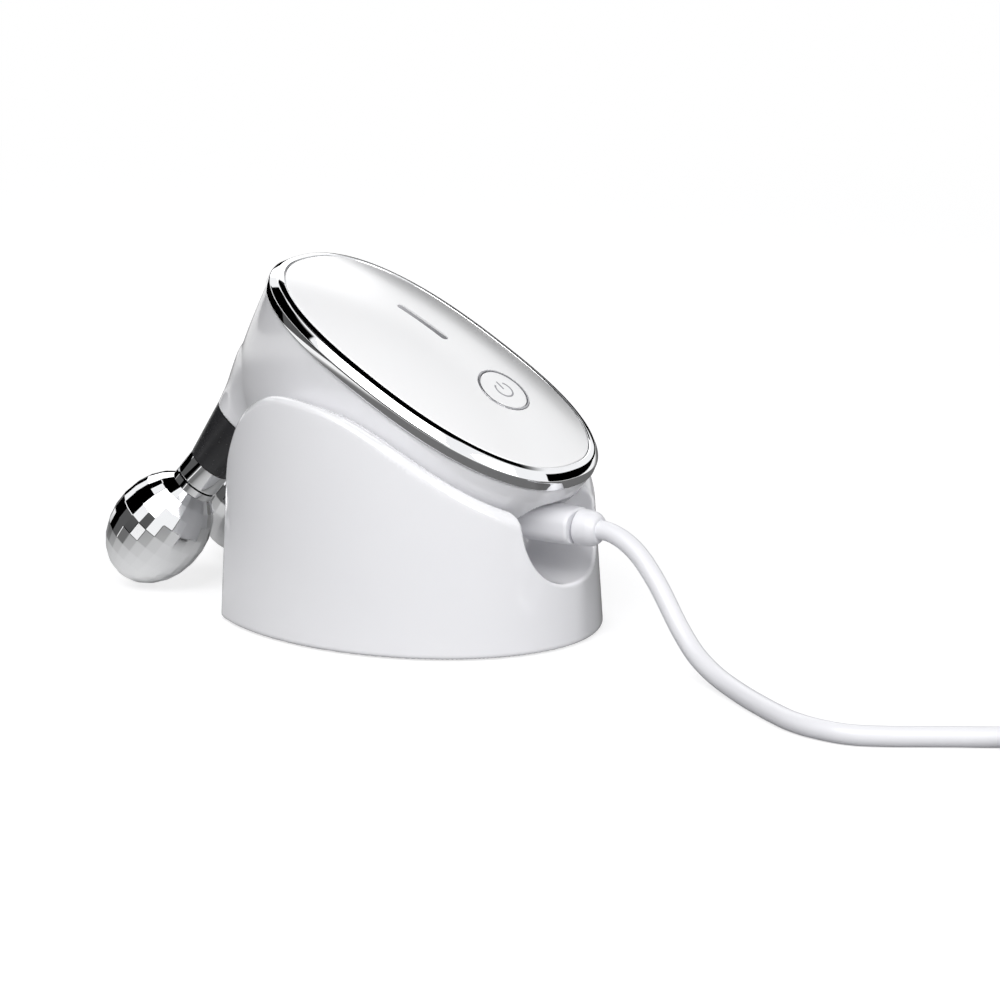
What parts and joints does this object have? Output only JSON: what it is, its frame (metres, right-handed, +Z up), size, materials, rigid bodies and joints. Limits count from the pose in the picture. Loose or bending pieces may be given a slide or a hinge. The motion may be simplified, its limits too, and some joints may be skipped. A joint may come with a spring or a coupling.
{
  "type": "facial toning device",
  "caption": "Hand-held facial toning device with faceted roller balls on splayed arms, standing in a scooped holder with its charging lead plugged in.",
  "frame": {"origin": "on the table under the middle of the holder's oval footprint", "axes": "+Z up; +X towards the device's tail and its lead; the rollers point along -X; the y = 0 plane halves the device and the holder"},
  "size_m": [0.2911, 0.0832, 0.0788],
  "materials": {
    "gloss_white": "gloss",
    "matte_white": "satin",
    "soft_grey": "matte",
    "steel": "satin",
    "chrome": "polished",
    "silver": "satin",
    "lens": "gloss",
    "led": "gloss",
    "board": "satin",
    "cell": "satin",
    "wire_red": "satin",
    "black_plastic": "satin",
    "copper": "satin",
    "collar_black": "satin",
    "bronze": "satin",
    "cable_white": "satin"
  },
  "bodies": {
    "holder": {"holder_shell": "gloss_white", "cradle_tray": "gloss_white", "cradle_pads": "soft_grey", "base_plate": "matte_white", "base_screws": "steel", "foot_pad": "soft_grey"},
    "device": {"lower_shell": "gloss_white", "trim_ring": "chrome", "top_cover": "gloss_white", "button_bezel": "silver", "light_lens": "lens", "light_guide": "lens", "indicator_leds": "led", "circuit_board": "board", "board_screws": "steel", "switch_body": "steel", "battery": "cell", "battery_foam": "soft_grey", "battery_leads": "wire_red", "charge_socket": "steel", "socket_board": "board", "charge_leads": "black_plastic", "arm_yoke": "matte_white", "yoke_screws": "steel", "electrode_leads": "copper", "collar_near": "collar_black", "collar_far": "collar_black", "neck_near": "chrome", "neck_far": "chrome", "axle_near": "steel", "axle_far": "steel", "axle_clip_near": "steel", "axle_clip_far": "steel"},
    "button": {"power_button": "gloss_white", "switch_plunger": "black_plastic"},
    "roller_near": {"ball_near": "chrome", "ball_bush_near": "bronze"},
    "roller_far": {"ball_far": "chrome", "ball_bush_far": "bronze"},
    "lead": {"plug_grip": "cable_white", "plug_relief": "cable_white", "plug_tip": "steel", "cable": "cable_white", "cable_coil": "cable_white", "coil_tie": "black_plastic", "usb_grip": "cable_white", "usb_shell": "steel", "usb_insert": "cable_white"}
  },
  "joints": [
    {"name": "device_lift", "type": "slide", "parent": "holder", "child": "device", "axis": [0, 0, 1], "range_m": [0, 0.07]},
    {"name": "power_button", "type": "slide", "parent": "device", "child": "button", "axis": [-0.4493, 0, -0.8934], "range_m": [0, 0.0005], "stiffness_N_per_m": 600, "springref_m": -0.001},
    {"name": "roller_near_turn", "type": "hinge", "parent": "device", "child": "roller_near", "pos_m": [-0.05788, -0.01597, 0.01437], "axis": [0.5759, 0.2504, 0.7783], "continuous": true},
    {"name": "roller_far_turn", "type": "hinge", "parent": "device", "child": "roller_far", "pos_m": [-0.05788, 0.01597, 0.01437], "axis": [0.5759, -0.2504, 0.7783], "continuous": true},
    {"name": "plug_pull", "type": "slide", "parent": "device", "child": "lead", "axis": [1, 0, 0], "range_m": [0, 0.008]}
  ]
}
